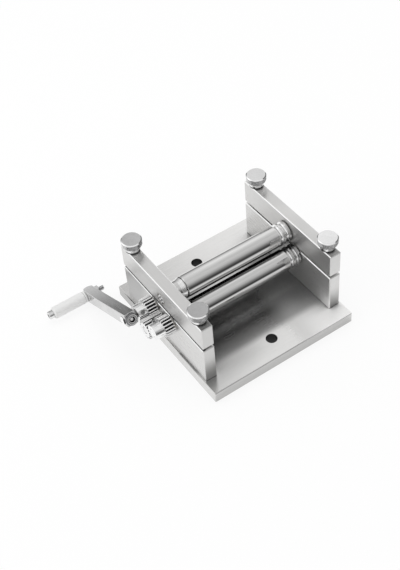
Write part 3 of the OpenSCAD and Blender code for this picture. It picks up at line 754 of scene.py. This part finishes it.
# ---------------------------------------------------------------- Lifting springs
# A small coil spring of drawn wire round each guide pin lifts the bar as its thumb screws are
# turned back. It stands in a pocket of the block and bears on the bar's underside.
def wound(name, wire_r, wire_sides, coil_r, start_z, turns, pitch):
    """Winds a round wire about Z, as round a mandrel, and closes its two ends."""
    bpy.ops.object.select_all(action="DESELECT")
    bpy.ops.mesh.primitive_circle_add(vertices=wire_sides, radius=wire_r,
                                      rotation=(math.pi / 2, 0, 0))
    piece = bpy.context.object
    piece.name = name
    bpy.ops.object.transform_apply(location=True, rotation=True, scale=True)
    bpy.ops.object.mode_set(mode="EDIT")
    bpy.ops.mesh.select_all(action="SELECT")
    bpy.ops.transform.translate(value=(coil_r, 0, start_z))
    bpy.ops.object.mode_set(mode="OBJECT")
    coil = piece.modifiers.new("coil", "SCREW")
    coil.axis, coil.angle, coil.iterations, coil.steps = "Z", math.tau, turns, 24
    coil.screw_offset, coil.use_merge_vertices = pitch, False
    bpy.ops.object.modifier_apply(modifier="coil")
    bpy.ops.object.mode_set(mode="EDIT")
    bpy.ops.mesh.select_all(action="SELECT")
    bpy.ops.mesh.fill_holes(sides=0)
    close_up()
    return piece


spring_x = 0.0583
spring_y = 0.0305
spring_low = 0.0360
spring_high = 0.0464
spring_wire_r = 0.00035
spring_r = 0.00275
spring_turns = 5
coil_height = spring_high - spring_low - 2 * spring_wire_r
wire = brushed("drawn_spring_wire", (0.50, 0.50, 0.50), 0.25)
spring = wound("left_front_coil_spring", spring_wire_r, wire_sides=10, coil_r=spring_r,
               start_z=0, turns=spring_turns, pitch=coil_height / spring_turns)
settle(spring, (-spring_x, -spring_y, spring_low + spring_wire_r))
spring.data.materials.append(wire)
springs = {"left_front": spring}
for corner_name, step in steps_to_corners(spring_x, spring_y).items():
    springs[corner_name] = twin_of(spring, corner_name + "_coil_spring", step)
for corner_name, piece in springs.items():
    side, end = corner_name.split("_")
    x = -spring_x if side == "left" else spring_x
    y = -spring_y if end == "front" else spring_y
    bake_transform(piece)
    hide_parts(corner_name + "_spring")


# ---------------------------------------------------------------- Crank arm
# A bar of ground steel clamped on the rear roller's shaft. Its broad faces are brushed along the
# bar, its edges are broken with a file, and the end face of its heel is matt with a painted
# highlight.
crank_y = 0.012
crank_z = 0.038
crank_turn = math.radians(-25.4)
heel_end = (-0.0056, -0.0059)
heel_highlight_grey = 1.0
arm_edge_width = 0.0003
arm_steel = brushed("satin_arm", (0.68, 0.68, 0.68), 0.14, "yz")
tree = arm_steel.node_tree
along = add(tree, "ShaderNodeVectorMath", operation="DOT_PRODUCT")
tree.links.new(own_place(tree, shift=(0, -crank_y, -crank_z)), along.inputs[0])
along.inputs[1].default_value = (0.0, math.cos(crank_turn), math.sin(crank_turn))
# Painted highlight on the heel's matt end face
over_metal(arm_steel, between(tree, along.outputs["Value"], *heel_end), heel_highlight_grey, 0.65)
wear(arm_steel, "crank_arm")
soften(arm_edge_width, "crank_arm")


# ---------------------------------------------------------------- Clamp screw
# A socket head screw in the arm's heel pulls the arm on the flat of the shaft. It has a
# chamfered head, and painted shade blackens its hexagon socket round a painted highlight on the
# floor.
def cut(piece, cutter, operation="DIFFERENCE"):
    """Takes the cutter out of the piece, or keeps what the two share, and removes the cutter."""
    bpy.ops.object.select_all(action="DESELECT")
    piece.select_set(True)
    bpy.context.view_layer.objects.active = piece
    tool = piece.modifiers.new("cut", "BOOLEAN")
    tool.object, tool.operation, tool.solver = cutter, operation, "EXACT"
    bpy.ops.object.modifier_apply(modifier="cut")
    bpy.data.objects.remove(cutter, do_unlink=True)


def hex_bar(across_flats, low, high):
    """A six sided bar about Z."""
    bpy.ops.object.select_all(action="DESELECT")
    bpy.ops.mesh.primitive_cylinder_add(vertices=6, radius=across_flats / math.sqrt(3),
                                        depth=high - low, location=(0, 0, (low + high) / 2))
    bpy.ops.object.transform_apply(location=True, rotation=True, scale=True)
    return bpy.context.object


arm_lift = 0.0008
arm_mid_x = -0.08665
clamp_shank_r = 0.0030
clamp_seat = 0.00602
clamp_top = clamp_seat + 0.0024
clamp_head_r = 0.0050
clamp_flat_r = 0.0042
dish_rim_r, dish_foot_r, dish_depth = 0.0034, 0.0029, 0.0003
clamp_socket = 0.0044
clamp_socket_depth = 0.0016
clamp_profile = [
    (0.0027, 0.0027), (clamp_shank_r, 0.0030), (clamp_shank_r, clamp_seat),
    (clamp_head_r - 0.0001, clamp_seat), (clamp_head_r, clamp_seat + 0.0001),
    (clamp_head_r, clamp_top - 0.0008), (clamp_flat_r, clamp_top),
    (dish_rim_r, clamp_top), (dish_foot_r, clamp_top - dish_depth),
]
clamp = turned("clamp_socket_screw", clamp_profile, sides=48)
cut(clamp, hex_bar(clamp_socket, clamp_top - clamp_socket_depth, clamp_top + 0.001))


def on_socket_floor(corner):
    """Corners of the socket's floor."""
    deep = clamp_seat + 0.0001 < corner.z < clamp_top - 0.0014
    return deep and math.hypot(corner.x, corner.y) < clamp_socket * 0.6


bpy.ops.object.mode_set(mode="EDIT")
pick(clamp, on_socket_floor)
bpy.ops.mesh.inset(thickness=0.0010)
close_up()
# The socket gets painted shade, and the middle of its floor a painted highlight
for facet in clamp.data.polygons:
    off_centre = math.hypot(facet.center.x, facet.center.y)
    in_head = clamp_seat + 0.0001 < facet.center.z < clamp_top - 0.0005
    if in_head and off_centre < clamp_socket * 0.55:
        facet.material_index = 2 if off_centre < 0.0001 else 1
    elif off_centre > clamp_flat_r or dish_foot_r < off_centre < dish_rim_r:
        facet.material_index = 3
# The screw points from the heel into the arm: its top, +Z here, becomes -Y of the turned arm
lift = Vector((0, 0, arm_lift))
lift.rotate(Euler((crank_turn, 0, 0)))
clamp_place = (arm_mid_x, crank_y + lift.y, crank_z + lift.z)
settle(clamp, clamp_place, "X", math.pi / 2 + crank_turn)
clamp_steel = brushed("greased_clamp_screw", (0.95, 0.95, 0.95), 0.42)
# Painted shade for the socket, and a painted highlight for its floor
socket_shade = brushed("painted_socket_shade", (0.035, 0.035, 0.037), 0.45)
socket_highlight = brushed("painted_socket_highlight", (1.0, 1.0, 1.0), 0.45)
socket_highlight.node_tree.nodes["Principled BSDF"].inputs["Metallic"].default_value = 0.2
rim_dirt = brushed("dirty_screw_rim", (0.20, 0.20, 0.205), 0.35)
for finish in (clamp_steel, socket_shade, socket_highlight, rim_dirt):
    clamp.data.materials.append(finish)
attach(clamp, "crank")
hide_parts("clamp_screw")


# ---------------------------------------------------------------- Grip
# A turned aluminium sleeve that spins on its own screw. Its satin face is pale and even, and
# a spacer of the same alloy keeps it off the arm.
grip_y = 0.07702
grip_z = 0.00801
grip_in_x = -0.0930
arm_out_x = -0.0912
grip_bore_r = 0.00202
grip_alloy = brushed("satin_grip", (0.84, 0.84, 0.835), 0.50, "x", depth=0.0000005, shade=0.01)
grip_alloy.node_tree.nodes["Principled BSDF"].inputs["Metallic"].default_value = 0.12
wear(grip_alloy, "grip")


def drill(piece, radius):
    """Drills a hole through the piece along Z."""
    bpy.ops.object.select_all(action="DESELECT")
    bpy.ops.mesh.primitive_cylinder_add(vertices=32, radius=radius, depth=0.02)
    cut(piece, bpy.context.object)


spacer_l = arm_out_x - grip_in_x - 0.00002
spacer_profile = [
    (0.0045, 0.0), (0.0049, 0.0004), (0.0049, spacer_l - 0.0002), (0.0047, spacer_l),
]
spacer = turned("grip_spacer", spacer_profile, sides=48)
drill(spacer, grip_bore_r)
settle(spacer, (arm_out_x - 0.00001, grip_y, grip_z), "Y", -math.pi / 2)
spacer.data.materials.append(grip_alloy)
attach(spacer, "crank")
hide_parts("grip_collar")


# ---------------------------------------------------------------- Grip screw and nut
# The grip turns on a socket head screw through the arm's end. A chamfered nut holds it behind
# the arm, where the end of its thread stands out.
grip_screw_top = -0.1255
grip_head_x = -0.1215
arm_in_x = -0.0821
nut_end_x = -0.0789
thread_end_x = -0.0745
thread_r = 0.0020
thread_pitch = 0.0007
thread_depth = 0.00030
thread_wire_r = 0.00034
thread_turns = 6
grip_socket = 0.003
grip_socket_depth = 0.0022
head_h = grip_head_x - grip_screw_top
shank_l = thread_end_x - grip_head_x
thread_l = thread_end_x - nut_end_x + 0.001
core_r = thread_r - thread_depth
screw_l = shank_l + head_h
grip_screw_profile = [
    (core_r, 0.0), (core_r, thread_l), (thread_r, thread_l + 0.0002), (thread_r, shank_l),
    (0.0032, shank_l), (0.0034, shank_l + 0.0002), (0.0034, screw_l - 0.0006),
    (0.0032, screw_l - 0.0001), (0.0029, screw_l),
]
bright_screw = brushed("bright_screw", (0.80, 0.80, 0.80), 0.18)
grip_screw = turned("grip_socket_screw", grip_screw_profile, sides=40)
cut(grip_screw, hex_bar(grip_socket, screw_l - grip_socket_depth, screw_l + 0.001))
settle(grip_screw, (thread_end_x, grip_y, grip_z), "Y", -math.pi / 2)
grip_screw.data.materials.append(bright_screw)

# The thread is one V wound round the screw's end
thread = wound("grip_screw_thread", thread_wire_r, wire_sides=3, coil_r=thread_r - thread_wire_r,
               start_z=0.00035, turns=thread_turns, pitch=thread_pitch)
settle(thread, (thread_end_x, grip_y, grip_z), "Y", -math.pi / 2)
thread.data.materials.append(dark_steel)

nut_h = nut_end_x - arm_in_x - 0.00002
nut_flats = 0.007
nut_face_r, nut_corner_r, nut_chamfer = 0.0034, 0.00404, 0.0004
nut_profile = [
    (nut_face_r, 0.0), (nut_corner_r, nut_chamfer), (nut_corner_r, nut_h - nut_chamfer),
    (nut_face_r, nut_h),
]
nut = turned("grip_hex_nut", nut_profile, sides=48)
cut(nut, hex_bar(nut_flats, -0.001, nut_h + 0.001), "INTERSECT")
drill(nut, thread_r + 0.00002)
settle(nut, (arm_in_x + 0.00001, grip_y, grip_z), "Y", math.pi / 2)
nut.data.materials.append(bright_screw)
for piece, cad in ((grip_screw, "grip_screw"), (nut, "grip_nut")):
    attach(piece, "crank")
    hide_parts(cad)
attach(thread, "crank")
